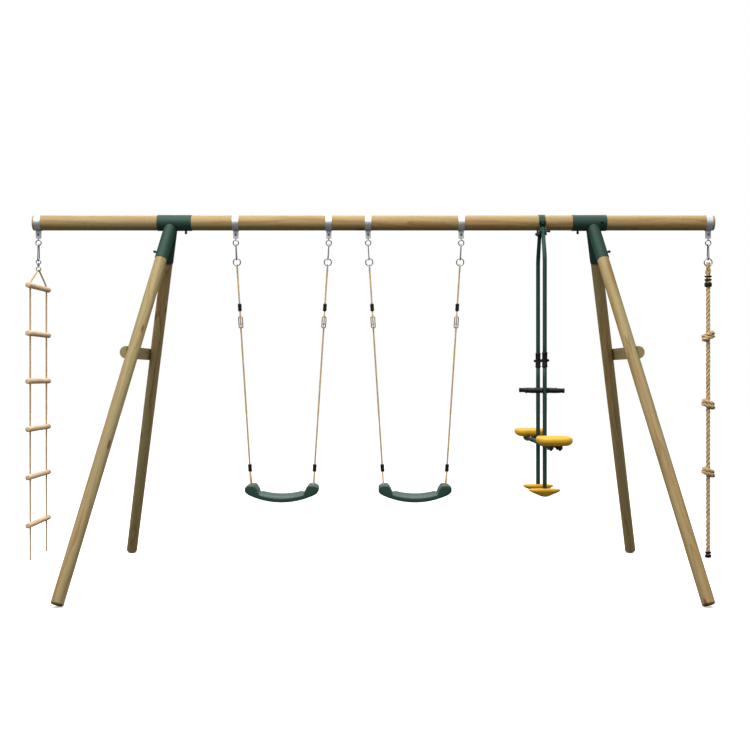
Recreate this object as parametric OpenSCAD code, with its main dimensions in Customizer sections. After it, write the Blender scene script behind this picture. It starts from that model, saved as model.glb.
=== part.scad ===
// Timber swing set: a round-log beam on two A-frames carries a rope ladder, two seats,
// a face-to-face glider and a knotted climbing rope.
// X runs along the beam, Y from front to rear and Z up. The origin is on the ground under the beam.
// Every length is in millimetres.

/* [Beam and legs] */
// Distance of the beam's left end from the origin
beam_left = 2048; // [2045:1:2100]
// Distance of the beam's right end from the origin
beam_right = 2030; // [2025:1:2100]
// Height of the beam's axis
beam_z = 2120; // [2100:1:2200]
// Diameter of the beam
beam_d = 90; // [88:1:92]
// Diameter of a leg
leg_d = 70; // [68:1:72]
// How far a leg spreads sideways for each mm that it drops
leg_out = 0.2067; // [0.19:0.001:0.22]
// How far a leg spreads fore or aft for each mm that it drops
leg_fore = 0.4518; // [0.44:0.001:0.47]
// Chamfer at the foot of a leg
leg_chamfer = 6; // [3:1:10]
// Where the left legs meet the beam
left_apex = -1219; // [-1240:1:-1200]
// Where the right legs meet the beam
right_apex = 1301; // [1280:1:1320]
// Seams of the three logs, left and right
seams = [-277, 518]; // [-600:1:900]

/* [Crossbars] */
// Length of a crossbar
crossbar_l = 740; // [720:1:780]
// Radius of the half-round crossbar
crossbar_r = 36; // [30:1:40]
// Height of a crossbar
crossbar_z = 1330; // [1250:1:1400]

/* [Corner brackets] */
// Wall of the bracket's steel sleeves
sleeve_t = 3; // [2:0.5:4]
// Sleeve on the beam, from the legs' line to its outer end
sleeve_outer = 84; // [80:1:95]
// Sleeve on the beam, from the legs' line to its inner end
sleeve_inner = 120; // [100:1:140]
// Distance along a leg from the beam's axis to the lower end of its sleeve
leg_sleeve_l = 251; // [230:1:280]

/* [Hangers] */
// Width of a hanger band
band_w = 37; // [30:1:45]
// Thickness of a hanger band
band_t = 3; // [2:0.5:4]
// Place of the rope ladder along the beam
ladder_x = -2019; // [-2025:1:-1990]
// Place of the climbing rope along the beam
rope_x = 1999; // [1980:1:2005]
// Place of the glider along the beam
glider_x = 998; // [900:1:1050]
// Middle of the left swing
swing_left_x = -556; // [-600:1:-500]
// Middle of the right swing
swing_right_x = 238; // [200:1:300]
// Distance between a swing's two hangers
hook_gap = 558; // [500:1:600]

/* [Swing seats] */
// Width of a swing seat
seat_w = 434; // [400:1:450]
// Depth of a swing seat, front to rear
seat_depth = 168; // [140:1:180]
// Height of a swing seat's lowest point
seat_z = 449; // [400:1:500]
// Distance between the two ropes at the seat
seat_rope_gap = 374; // [360:1:390]
// Diameter of the swing ropes
swing_rope_d = 11; // [9:1:12]

/* [Rope ladder] */
// Number of rungs
rungs = 6; // [3:1:6]
// Length of a rung
rung_l = 445; // [400:1:450]
// Diameter of a rung
rung_d = 32; // [28:1:36]
// Distance from one rung to the next
rung_step = 280.6; // [250:0.1:290]
// Height of the top rung
top_rung_z = 1733; // [1700:1:1740]
// Distance of each ladder rope from the ladder's middle
ladder_rope_y = 171; // [160:1:180]
// Height of the ladder ropes' lower ends
ladder_end_z = 124; // [100:1:200]

/* [Climbing rope] */
// Diameter of the climbing rope
climb_d = 26; // [20:1:30]
// Heights of the knots
knot_zs = [1441, 1034, 626]; // [500:1:1500]
// Height of the rope's lower end
climb_end_z = 112; // [100:1:200]

/* [Glider] */
// Diameter of the glider's steel tubes
tube_d = 25; // [22:1:27]
// Distance of each arm's pivot from the middle
pivot_y = 70; // [68:1:75]
// Height of the arm pivots
pivot_z = 2062; // [2060:1:2064]
// Distance of the arms' straight stretch from the middle
arm_y = 143; // [135:1:150]
// Distance of each glider seat's centre from the middle
glider_seat_y = 510; // [480:1:540]
// Height of the glider seats' underside
glider_seat_z = 817; // [780:1:850]
// Height of the handlebars
handle_z = 1116; // [1080:1:1150]
// Height of the couplers' lower ends
coupler_z = 1253; // [1230:1:1280]

/* [Hidden] */
$fn = 48;
leg_norm = norm([leg_out, leg_fore, 1]);
leg_tilt = acos(1 / leg_norm);
side_tilt = atan(leg_out);
leg_top_s = 100;
foot_r = leg_d / 2 - leg_chamfer;
leg_end_s = (beam_z - foot_r * sin(leg_tilt)) * leg_norm;
side_out = [-cos(side_tilt), 0, sin(side_tilt)];
crossbar_drop = beam_z - crossbar_z;
beam_r = beam_d / 2;
bolt_r = 4;
hole_r = 4.2;
cap_r = 8;
screw_l = 60;
spigot_r = 12.5;
spigot_l = 160;

tab_w = 31;
tab_gap = 8;
tab_bottom = 2027;
tab_bolt_z = 2051.6;
wire = 7;
eye_r = 16;
eye_z = 2000.6;
swing_z = eye_z - eye_r;
hook_top = 8;
hook_top_r = 12;
hook_low_r = 17;
ring_r = 21.5;
ring_drop = 99.8;
hook_low = 86.3;

swing_lean = atan((hook_gap - seat_rope_gap) / 2 / (swing_z - 545));
rope_r = swing_rope_d / 2;
ferrule_r = 11.5;
ferrule_l = 45;
adjuster_l = 77;
adjuster_w = 29;
adjuster_wire = 6;
lower_ferrule_z = 669;
strand_r = 4.5;
strand_y = 37;
strand_end_z = 557;
seat_arc = 458;
seat_t = 38;
seat_inner = 141;
seat_low_half = 205;

swivel_r = 13.5;
swivel_wire = 6;
swivel_upper_z = 1886.6;
swivel_lower_z = 1843.4;
ladder_hook_low = 92;
// Route of the front ladder rope: across from the middle, and up. The rear rope mirrors it.
ladder_route = [[2, 1838.5], [10, 1837], [20, 1832], [32, 1825], [60, 1810], [90, 1794], [120, 1778],
  [142, 1766], [154, 1758], [163, 1748], [169, 1735], [171, 1720], [171, 1450], [171, 1200],
  [171, 900], [171, 600], [171, 350], [171, 124]];
climb_ring_r = 23.5;
climb_hook_low = 85.5;
splice_r = 18.5;
splice_low = 1737;
// Height of each black band's lower edge, its height and its radius
band_list = [[1794, 10, 22], [1774, 10, 22], [1737, 26, 22], [136, 14, 19], [112, 19, 19]];
knot_r = 49;
knot_h = 36;

tube_r = tube_d / 2;
arm_top = [62, 2085];
arm_bend_z = 1905;
tube_seam_z = 1272;
tube_end_z = 502;
coupler_l = 89;
coupler_r = 16;
handle_half = 116;
grip_r = 14.5;
handle_bar_r = 9;
bar_w = 20;
bar_x = 25;
bar_half = 590;
bar_pivot_z = glider_seat_z - bar_w / 2;
slot_half = 9;
glider_seat_w = 190;
glider_seat_d = 250;
glider_seat_t = 48;
seat_bolt_gap = 100;
foot_w = 183;
foot_d = 92;
foot_top = 538;
foot_h = 46;
clamp_t = 4;
cheek_x = 14;

green = [0.16, 0.32, 0.26];
pine = [0.72, 0.58, 0.36];
zinc = [0.75, 0.76, 0.78];
black = [0.05, 0.05, 0.05];
yellow = [0.90, 0.66, 0.10];
hemp = [0.80, 0.66, 0.44];
beech = [0.85, 0.72, 0.60];

// ---- helpers ----
// Turns +Z to the direction d and starts at p
module aim(p, d) {
  translate(p) rotate([0, acos(d[2] / norm(d)), atan2(d[1], d[0])]) children();
}

module rod(a, b, d) {
  aim(a, b - a) cylinder(d = d, h = norm(b - a));
}

// A cylinder centred on c along an axis, "x" or "y"
module bar_x(c, d, l) {
  translate(c) rotate([0, 90, 0]) cylinder(d = d, h = l, center = true);
}

module bar_y(c, d, l) {
  translate(c) rotate([90, 0, 0]) cylinder(d = d, h = l, center = true);
}

// Part of a wire ring in the plane across X, from angle a to angle b; 0 points to +Y, 90 to +Z
module arc_x(r, a, b, d) {
  rotate([90, 0, 90]) rotate([0, 0, a]) rotate_extrude(angle = b - a) translate([r, 0]) circle(d = d);
}

// A whole wire ring whose axis is Y
module ring_y(r, d) {
  rotate([90, 0, 0]) rotate_extrude() translate([r, 0]) circle(d = d);
}

// Ball-ended plastic cap on a screw's or bolt's end, standing on z = 0
module cap() {
  difference() {
    union() {
      cylinder(r = 6.5, h = 12);
      translate([0, 0, 12]) sphere(r = cap_r);
    }
    translate([0, 0, -1]) cylinder(r = bolt_r, h = 5);
  }
}

// Screw down from z = 0, whose neck ends inside its cap
module screw() {
  translate([0, 0, -screw_l]) cylinder(r = bolt_r, h = screw_l + 3);
}

// Both sides of the frame: the right one is the left one turned about Z
module left_side() {
  translate([left_apex, 0, beam_z]) children();
}

module right_side() {
  translate([right_apex, 0, beam_z]) rotate([0, 0, 180]) children();
}

// Direction down a left leg; side is -1 for the front leg and 1 for the rear one
function leg_dir(side) = [-leg_out, side * leg_fore, -1] / leg_norm;

// ---- timber frame ----
module log_x(a, b) {
  translate([a, 0, beam_z]) rotate([0, 90, 0]) cylinder(r = beam_r, h = b - a, $fn = 96);
}

module spigot(x, r) {
  bar_x([x, 0, beam_z], 2 * r, spigot_l);
}

module beam_log(a, b) {
  color(pine) difference() {
    log_x(a, b);
    for (x = seams) spigot(x, spigot_r);
    left_side() screw_holes();
    right_side() screw_holes();
  }
}

module beam_left_log() { beam_log(-beam_left, seams[0]); }
module beam_middle_log() { beam_log(seams[0], seams[1]); }
module beam_right_log() { beam_log(seams[1], beam_right); }

module beam_spigots() {
  color(zinc) for (x = seams) spigot(x, spigot_r);
}

// One leg in the left side's own frame
module leg(side) {
  d = leg_dir(side);
  color(pine) difference() {
    aim(leg_top_s * d, d) {
      cylinder(d = leg_d, h = leg_end_s - leg_top_s - leg_chamfer, $fn = 96);
      translate([0, 0, leg_end_s - leg_top_s - leg_chamfer])
        cylinder(d1 = leg_d, d2 = 2 * foot_r, h = leg_chamfer, $fn = 96);
    }
    screw_holes();
    crossbar_hole(side);
  }
}

// From inside the leg, out through the crossbar
module crossbar_seat(side) {
  aim(crossbar_drop * leg_norm * leg_dir(side) + (leg_d / 2 + 22) * side_out, side_out) children();
}

module crossbar_hole(side) {
  crossbar_seat(side) translate([0, 0, -screw_l - 2]) cylinder(r = hole_r, h = screw_l + 20);
}

module leg_front_left() { left_side() leg(-1); }
module leg_rear_left() { left_side() leg(1); }
module leg_front_right() { right_side() leg(1); }
module leg_rear_right() { right_side() leg(-1); }

// Half-round log on the legs' outer side, with its screws sunk into it
module crossbar() {
  middle = [-leg_out * crossbar_drop, 0, -crossbar_drop];
  color(pine) difference() {
    translate(middle + leg_d / 2 * side_out) rotate([0, side_tilt, 0]) intersection() {
      bar_y([0, 0, 0], 2 * crossbar_r, crossbar_l, $fn = 96);
      translate([-crossbar_r, 0, 0]) cube([2 * crossbar_r, crossbar_l + 2, 3 * crossbar_r], center = true);
    }
    for (side = [-1, 1]) {
      crossbar_hole(side);
      crossbar_seat(side) cylinder(r = 10, h = 40);
    }
  }
}

module crossbar_left() { left_side() crossbar(); }
module crossbar_right() { right_side() crossbar(); }

// Welded steel bracket: a sleeve on the beam and a sleeve on each leg
module bracket() {
  color(green) difference() {
    union() {
      difference() {
        for (side = [-1, 1])
          aim(10 * leg_dir(side), leg_dir(side)) cylinder(d = leg_d + 2 * sleeve_t, h = leg_sleeve_l - 10, $fn = 96);
        for (side = [-1, 1])
          aim(52 * leg_dir(side), leg_dir(side)) cylinder(d = leg_d, h = leg_sleeve_l, $fn = 96);
      }
      translate([-sleeve_outer, 0, 0]) rotate([0, 90, 0])
        cylinder(r = beam_r + sleeve_t, h = sleeve_outer + sleeve_inner, $fn = 96);
    }
    translate([-sleeve_outer - 1, 0, 0]) rotate([0, 90, 0])
      cylinder(r = beam_r, h = sleeve_outer + sleeve_inner + 2, $fn = 96);
    screw_holes();
  }
}

module bracket_left() { left_side() bracket(); }
module bracket_right() { right_side() bracket(); }

// Where one bracket's screws sit on it and which way they point out: one below the beam, one
// on its far side and one outside each leg
function screw_list() = [
  [[sleeve_inner - 35, 0, -beam_r - sleeve_t], [0, 0, -1]],
  [[-51, beam_r + sleeve_t, 0], [0, 1, 0]],
  [(leg_sleeve_l - 38) * leg_dir(-1) + (leg_d / 2 + sleeve_t) * side_out, side_out],
  [(leg_sleeve_l - 38) * leg_dir(1) + (leg_d / 2 + sleeve_t) * side_out, side_out]];

module screw_holes() {
  for (b = screw_list()) aim(b[0], b[1]) translate([0, 0, -screw_l - 2]) cylinder(r = hole_r, h = screw_l + 20);
}

module side_bolts() {
  for (b = screw_list()) aim(b[0], b[1]) screw();
  for (side = [-1, 1]) crossbar_seat(side) {
    translate([0, 0, -screw_l]) cylinder(r = bolt_r, h = screw_l + 1);
    cylinder(r = 8, h = 5);
  }
}

module frame_bolts() {
  color(zinc) {
    left_side() side_bolts();
    right_side() side_bolts();
  }
}

module side_caps() {
  for (b = screw_list()) aim(b[0], b[1]) cap();
}

module frame_bolt_caps() {
  color(black) {
    left_side() side_caps();
    right_side() side_caps();
    for (s = [-1, 1])
      translate([glider_x + band_w / 2 + 6, s * pivot_y, pivot_z]) rotate([0, 90, 0]) cap();
  }
}

// ---- hangers on the beam ----
hanger_xs = [ladder_x, swing_left_x - hook_gap / 2, swing_left_x + hook_gap / 2,
  swing_right_x - hook_gap / 2, swing_right_x + hook_gap / 2, rope_x];

// Strap round the beam, closed by two tabs below
module hanger_band(x) {
  difference() {
    union() {
      bar_x([x, 0, beam_z], beam_d + 2 * band_t, band_w, $fn = 96);
      translate([x - tab_w / 2, -tab_gap / 2 - band_t, tab_bottom])
        cube([tab_w, tab_gap + 2 * band_t, beam_z - beam_r - tab_bottom + 5]);
    }
    bar_x([x, 0, beam_z], beam_d, band_w + 2, $fn = 96);
    translate([x - band_w, -tab_gap / 2, tab_bottom - 1]) cube([2 * band_w, tab_gap, beam_z - beam_r - tab_bottom + 10]);
    bar_y([x, 0, tab_bolt_z], 2 * hole_r, 40);
  }
}

module hanger_bands() {
  color(zinc) for (x = hanger_xs) hanger_band(x);
}

// Hexagon bolt through the two tabs
module hanger_bolt(x) {
  face = tab_gap / 2 + band_t;
  bar_y([x, 0, tab_bolt_z], 2 * bolt_r, 2 * face + 12);
  for (s = [-1, 1])
    translate([x, s * (face + 2.75), tab_bolt_z]) rotate([90, 0, 0]) cylinder(r = 7.5, h = 5.5, center = true, $fn = 6);
}

module hanger_bolts() {
  color(zinc) for (x = hanger_xs) hanger_bolt(x);
}

// Eye that hangs on the bolt between the tabs and ends in a ring
module hanger_eye(x) {
  color(zinc) translate([x, 0, 0]) difference() {
    union() {
      bar_y([0, 0, tab_bolt_z], 16, tab_gap - 0.6);
      translate([0, 0, eye_z + eye_r]) cylinder(d = wire, h = tab_bolt_z - eye_z - eye_r - 6);
      translate([0, 0, eye_z]) ring_y(eye_r, wire);
    }
    bar_y([0, 0, tab_bolt_z], 2 * bolt_r + 0.1, 20);
  }
}

module swing_eyes() {
  for (i = [1 : 4]) hanger_eye(hanger_xs[i]);
}

module ladder_eye() { hanger_eye(ladder_x); }
module rope_eye() { hanger_eye(rope_x); }

// Spring hook in the plane across X. Its origin is the middle of the eye's lower wire.
module spring_hook(low) {
  top_z = hook_top - hook_top_r;
  low_z = hook_low_r - low;
  lean = asin((hook_low_r - hook_top_r) / (top_z - low_z));
  a = [0, hook_top_r * cos(lean), top_z + hook_top_r * sin(lean)];
  b = [0, hook_low_r * cos(lean), low_z + hook_low_r * sin(lean)];
  color(zinc) {
    translate([0, 0, top_z]) arc_x(hook_top_r, lean, 180 - lean, wire);
    translate([0, 0, low_z]) arc_x(hook_low_r, 180 - lean, 360 + lean, wire);
    for (m = [0, 1], p = [a, b]) mirror([0, m, 0]) translate(p) sphere(d = wire + 0.4);
    rod(a + 0.01 * (b - a), a + 0.99 * (b - a), wire);
    mirror([0, 1, 0]) {
      rod(a + 0.01 * (b - a), a + 0.12 * (b - a), wire);
      rod(a + 0.13 * (b - a), a + 0.78 * (b - a), wire - 1);
      rod(a + 0.79 * (b - a), a + 0.99 * (b - a), wire);
    }
  }
}

// ---- swings ----
// One line of a swing: its origin is on the swing axis and it leans to the seat's middle
module swing_line(x, side) {
  translate([x + side * hook_gap / 2, 0, swing_z]) rotate([0, side * swing_lean, 0]) children();
}

module swing_hooks(x) {
  for (side = [-1, 1]) swing_line(x, side) spring_hook(hook_low);
}

module swing_rings(x) {
  color(zinc) for (side = [-1, 1]) swing_line(x, side) translate([0, 0, -ring_drop]) ring_y(ring_r, wire);
}

// Point on a swing line at a world height
function line_at(x, side, z) = [x + side * (hook_gap / 2 - tan(swing_lean) * (swing_z - z)), 0, z];

module swing_ropes(x) {
  color(hemp) for (side = [-1, 1]) {
    rod(line_at(x, side, 1859), line_at(x, side, 1566), swing_rope_d);
    rod(line_at(x, side, 1483), line_at(x, side, lower_ferrule_z - ferrule_l - 2), swing_rope_d);
    for (s = [-1, 1])
      rod(line_at(x, side, lower_ferrule_z - ferrule_l - 3) + [0, s * 5, 0],
        line_at(x, side, strand_end_z) + [0, s * strand_y, 0], 2 * strand_r);
  }
}

module ferrule(p, side) {
  aim(p, [-side * tan(swing_lean), 0, -1]) difference() {
    cylinder(r = ferrule_r, h = ferrule_l);
    translate([0, 0, -1]) cylinder(r = rope_r + 0.8, h = ferrule_l + 2);
  }
}

module swing_ferrules(x) {
  color(black) for (side = [-1, 1]) {
    ferrule(line_at(x, side, 1632), side);
    ferrule(line_at(x, side, lower_ferrule_z), side);
  }
}

// Oval steel link that sets the rope's length
module adjuster() {
  r = (adjuster_w - adjuster_wire) / 2;
  reach = adjuster_l / 2 - r - adjuster_wire / 2;
  for (s = [0, 180]) rotate([0, s, 0]) {
    translate([0, 0, reach]) rotate([90, 0, 0]) rotate_extrude(angle = 180)
      translate([r, 0]) circle(d = adjuster_wire);
    translate([r, 0, -reach]) cylinder(d = adjuster_wire, h = 2 * reach);
  }
}

module swing_adjusters(x) {
  color(zinc) for (side = [-1, 1])
    translate(line_at(x, side, 1524.5)) rotate([0, side * swing_lean, 0]) adjuster();
}

// Height of the seat's underside at a distance x from its middle
function seat_low(x) = seat_z + seat_arc - sqrt(seat_arc * seat_arc - x * x);

// Curved board with a raised block at each end that the rope's two strands are fixed to
module swing_seat(x) {
  steps = 16;
  low = [for (i = [0 : steps]) let (u = (2 * i / steps - 1) * seat_low_half) [u, seat_low(u)]];
  top = [for (i = [steps : -1 : 0]) let (u = (2 * i / steps - 1) * seat_inner) [u, seat_low(u) + seat_t]];
  right_block = [[seat_w / 2, 507], [seat_w / 2, 542], [190, 555], [160, 555]];
  left_block = [for (i = [3 : -1 : 0]) [-right_block[i][0], right_block[i][1]]];
  color(green) translate([x, 0, 0]) rotate([90, 0, 0])
    linear_extrude(seat_depth, center = true) polygon(concat(low, right_block, top, left_block));
}

module swing_left_hooks() { swing_hooks(swing_left_x); }
module swing_left_rings() { swing_rings(swing_left_x); }
module swing_left_ropes() { swing_ropes(swing_left_x); }
module swing_left_ferrules() { swing_ferrules(swing_left_x); }
module swing_left_adjusters() { swing_adjusters(swing_left_x); }
module swing_left_seat() { swing_seat(swing_left_x); }
module swing_right_hooks() { swing_hooks(swing_right_x); }
module swing_right_rings() { swing_rings(swing_right_x); }
module swing_right_ropes() { swing_ropes(swing_right_x); }
module swing_right_ferrules() { swing_ferrules(swing_right_x); }
module swing_right_adjusters() { swing_adjusters(swing_right_x); }
module swing_right_seat() { swing_seat(swing_right_x); }

// ---- rope ladder ----
module ladder_hook() {
  translate([ladder_x, 0, swing_z]) spring_hook(ladder_hook_low);
}

// Upper half of the swivel: a ring with a barrel below it
module ladder_swivel_upper() {
  color(zinc) translate([ladder_x, 0, 0]) difference() {
    union() {
      translate([0, 0, swivel_upper_z]) ring_y(swivel_r, swivel_wire);
      translate([0, 0, 1861]) cylinder(r = 7, h = 14);
    }
    translate([0, 0, 1860]) cylinder(r = 3.05, h = 20);
    translate([0, 0, 1875]) cylinder(r = 5, h = 6);
  }
}

// Lower half of the swivel: a ring on a stem whose head turns inside the upper ring
module ladder_swivel_lower() {
  color(zinc) translate([ladder_x, 0, 0]) {
    translate([0, 0, swivel_lower_z]) ring_y(swivel_r, swivel_wire);
    translate([0, 0, swivel_lower_z + swivel_r]) cylinder(r = 3, h = 1876 - swivel_lower_z - swivel_r);
    translate([0, 0, 1875.5]) cylinder(r = 4.6, h = 4);
  }
}

// Unit vectors across a route in the plane x = const, and the swept tube round it
function route_dir(p, i) = let (a = p[max(i - 1, 0)], b = p[min(i + 1, len(p) - 1)]) (b - a) / norm(b - a);

module tube(points, r, sides = 8) {
  n = len(points);
  rings = [for (i = [0 : n - 1], k = [0 : sides - 1]) let (d = route_dir(points, i), w = 360 * k / sides)
    points[i] + r * (cos(w) * [1, 0, 0] + sin(w) * cross(d, [1, 0, 0]))];
  walls = [for (i = [0 : n - 2], k = [0 : sides - 1]) let (a = i * sides + k, b = i * sides + (k + 1) % sides)
    [a, b, b + sides, a + sides]];
  ends = [[for (k = [sides - 1 : -1 : 0]) k], [for (k = [0 : sides - 1]) (n - 1) * sides + k]];
  polyhedron(rings, concat(ends, walls));
}

module ladder_rope(side) {
  color(hemp) mirror([0, side > 0 ? 1 : 0, 0]) translate([ladder_x, 0, 0])
    tube([for (q = ladder_route) [0, -q[0], q[1]]], rope_r);
}

module ladder_rope_front() { ladder_rope(-1); }
module ladder_rope_rear() { ladder_rope(1); }

module ladder_rungs() {
  color(beech) for (i = [0 : rungs - 1]) difference() {
    bar_y([ladder_x, 0, top_rung_z - i * rung_step], rung_d, rung_l);
    for (s = [-1, 1]) translate([ladder_x, s * ladder_rope_y, top_rung_z - i * rung_step])
      cylinder(r = i == 0 ? 9 : 6, h = rung_d + 2, center = true);
  }
}

// ---- climbing rope ----
module rope_hook() {
  translate([rope_x, 0, swing_z]) spring_hook(climb_hook_low);
}

module rope_ring() {
  color(zinc) translate([rope_x, 0, swing_z - climb_hook_low + hook_top - climb_ring_r]) ring_y(climb_ring_r, wire);
}

module knot(z) {
  steps = 12;
  profile = [for (i = [0 : steps]) let (a = -90 + 180 * i / steps) [knot_r * cos(a), knot_h * sin(a)]];
  translate([0, 0, z]) rotate_extrude() polygon(profile);
}

module climbing_rope() {
  color(hemp) translate([rope_x, 0, 0]) {
    translate([0, 0, climb_end_z]) cylinder(d = climb_d, h = splice_low - climb_end_z + 1);
    translate([0, 0, splice_low]) cylinder(r = splice_r, h = 1855 - splice_low);
    for (z = knot_zs) knot(z);
  }
}

module rope_bands() {
  color(black) translate([rope_x, 0, 0]) for (b = band_list) translate([0, 0, b[0]]) difference() {
    cylinder(r = b[2], h = b[1]);
    translate([0, 0, -1]) cylinder(r = b[0] > 1000 ? splice_r : climb_d / 2, h = b[1] + 2);
  }
}

// ---- glider ----
// The rear arm is the front one mirrored
module rear() {
  mirror([0, 1, 0]) children();
}

module clamp_half() {
  difference() {
    union() {
      bar_x([glider_x, 0, beam_z], beam_d + 2 * clamp_t, band_w, $fn = 96);
      translate([glider_x, 0, beam_z]) cube([band_w, 152, 2 * clamp_t + 2], center = true);
    }
    bar_x([glider_x, 0, beam_z], beam_d, band_w + 2, $fn = 96);
    translate([glider_x, 0, beam_z]) cube([band_w + 2, 200, 2], center = true);
    for (s = [-1, 1]) translate([glider_x, s * 62, beam_z]) cylinder(r = hole_r, h = 40, center = true);
  }
}

module half_space(up) {
  translate([glider_x - 100, -200, up ? beam_z : beam_z - 200]) cube([200, 400, 200]);
}

module glider_clamp_upper() {
  color(green) intersection() {
    clamp_half();
    half_space(true);
  }
}

// Lower half of the clamp, with two cheeks that hold the arms' pivot bolts
module glider_clamp_lower() {
  cheek = [[-86, 2062], [-80, 2048], [80, 2048], [86, 2062], [80, 2076], [47, 2097], [-47, 2097], [-80, 2076]];
  color(green) difference() {
    union() {
      intersection() {
        clamp_half();
        half_space(false);
      }
      for (m = [0, 1]) translate([glider_x, 0, 0]) mirror([m, 0, 0]) translate([cheek_x, 0, 0])
        rotate([90, 0, 90]) linear_extrude(band_w / 2 - cheek_x) polygon(cheek);
    }
    bar_x([glider_x, 0, beam_z], beam_d, band_w + 2, $fn = 96);
    for (s = [-1, 1]) bar_x([glider_x, s * pivot_y, pivot_z], 2 * hole_r, 100);
  }
}

module glider_clamp_bolts() {
  color(zinc) for (s = [-1, 1]) translate([glider_x, s * 62, 0]) {
    translate([0, 0, beam_z - 11]) cylinder(r = bolt_r, h = 17);
    translate([0, 0, beam_z + clamp_t + 1]) cylinder(r = 8, h = 4);
    translate([0, 0, beam_z - clamp_t - 7]) cylinder(r = 7.5, h = 6, $fn = 6);
  }
}

module glider_pivot_bolts() {
  color(zinc) for (s = [-1, 1]) translate([glider_x, s * pivot_y, pivot_z]) rotate([0, 90, 0]) {
    translate([0, 0, -26]) cylinder(r = bolt_r, h = 26 + band_w / 2 + 8);
    translate([0, 0, -27]) cylinder(r = 9, h = 8, $fn = 6);
    translate([0, 0, band_w / 2 + 0.5]) cylinder(r = 8, h = 5, $fn = 6);
  }
}

// Front arm: a bent upper tube and a straight lower one that meet inside the coupler
module arm_tubes() {
  bend = [glider_x, -arm_y, arm_bend_z];
  color(green) difference() {
    union() {
      rod([glider_x, -arm_top[0], arm_top[1]], bend, tube_d);
      translate(bend) sphere(d = tube_d + 0.4);
      rod([glider_x, -arm_y, tube_seam_z], bend - [0, 0, 0.3], tube_d);
      rod([glider_x, -arm_y, tube_end_z], [glider_x, -arm_y, tube_seam_z - 0.5], tube_d);
    }
    bar_x([glider_x, -pivot_y, pivot_z], 2 * bolt_r + 0.1, 60);
    bar_x([glider_x, -arm_y, handle_z], 2 * handle_bar_r, 60);
    bar_x([glider_x, -arm_y, coupler_z + 41], 6.4, 60);
  }
}

module coupler() {
  color(black) difference() {
    translate([glider_x, -arm_y, coupler_z]) cylinder(r = coupler_r, h = coupler_l);
    translate([glider_x, -arm_y, coupler_z - 1]) cylinder(d = tube_d, h = coupler_l + 2);
    bar_x([glider_x, -arm_y, coupler_z + 41], 6.4, 60);
  }
}

// Steel bar with a soft grip on each side of the tube
module handlebar() {
  color(black) {
    bar_x([glider_x, -arm_y, handle_z], 2 * handle_bar_r, 2 * handle_half - 8);
    for (s = [-1, 1]) difference() {
      bar_x([glider_x + s * (handle_half + tube_r + 1) / 2, -arm_y, handle_z], 2 * grip_r, handle_half - tube_r - 1);
      bar_x([glider_x, -arm_y, handle_z], 2 * handle_bar_r, 2 * handle_half - 8);
    }
  }
}

// Boat-shaped rest: a curved keel seen from the front and a lens seen from above
module footrest() {
  steps = 12;
  keel = concat([for (i = [0 : steps]) let (u = -1 + 2 * i / steps)
    [u * foot_w / 2, foot_top - 12 - (foot_h - 12) * (1 - pow(abs(u), 1.4))]],
    [[foot_w / 2, foot_top], [-foot_w / 2, foot_top]]);
  lens_r = (foot_w * foot_w / 4 + foot_d * foot_d / 4) / foot_d;
  color(yellow) translate([glider_x, -arm_y, 0]) difference() {
    intersection() {
      rotate([90, 0, 0]) linear_extrude(foot_d + 10, center = true) polygon(keel);
      translate([0, lens_r - foot_d / 2, foot_top - 100]) cylinder(r = lens_r, h = 200, $fn = 180);
      translate([0, foot_d / 2 - lens_r, foot_top - 100]) cylinder(r = lens_r, h = 200, $fn = 180);
    }
    translate([0, 0, tube_end_z]) cylinder(d = tube_d, h = 100);
  }
}

// Bolt through the coupler, and the pivot bolt through the arm
module arm_bolts() {
  color(zinc) {
    bar_x([glider_x, -arm_y, coupler_z + 41], 6, 2 * coupler_r + 6);
    for (m = [-1, 1]) bar_x([glider_x + m * (coupler_r + 3.5), -arm_y, coupler_z + 41], 13, 7);
    bar_x([glider_x, -arm_y, bar_pivot_z], 2 * bolt_r, 2 * (bar_x + bar_w / 2) + 10);
    for (m = [-1, 1]) bar_x([glider_x + m * (bar_x + bar_w / 2 + 3.5), -arm_y, bar_pivot_z], 15, 6);
  }
}

module front_arm_tubes() {
  difference() {
    arm_tubes();
    bar_x([glider_x, -arm_y, bar_pivot_z], 2 * bolt_r, 60);
  }
}

module rear_arm_tubes() { rear() front_arm_tubes(); }
module front_coupler() { coupler(); }
module rear_coupler() { rear() coupler(); }
module front_handlebar() { handlebar(); }
module rear_handlebar() { rear() handlebar(); }
module front_footrest() { footrest(); }
module rear_footrest() { rear() footrest(); }
module front_arm_bolts() { arm_bolts(); }
module rear_arm_bolts() { rear() arm_bolts(); }

// Two box-section bars under the seats. The rear pivot's hole is a short slot.
module glider_seat_bars() {
  color(green) for (m = [-1, 1]) difference() {
    translate([glider_x + m * bar_x, 0, bar_pivot_z]) cube([bar_w, 2 * bar_half, bar_w], center = true);
    translate([glider_x + m * bar_x, 0, bar_pivot_z]) cube([bar_w - 4, 2 * bar_half - 6, bar_w - 4], center = true);
    bar_x([glider_x, -arm_y, bar_pivot_z], 2 * bolt_r + 0.1, 100);
    for (s = [-1, 1]) bar_x([glider_x, arm_y + s * (slot_half - bolt_r - 0.5), bar_pivot_z], 2 * bolt_r + 1, 100);
    translate([glider_x, arm_y, bar_pivot_z]) cube([100, 2 * (slot_half - bolt_r - 0.5), 2 * bolt_r + 1], center = true);
    for (s = [-1, 1], t = [-1, 1])
      translate([glider_x + m * bar_x, s * glider_seat_y + t * seat_bolt_gap / 2, bar_pivot_z])
        cylinder(r = 3.2, h = 40, center = true);
  }
}

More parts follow.
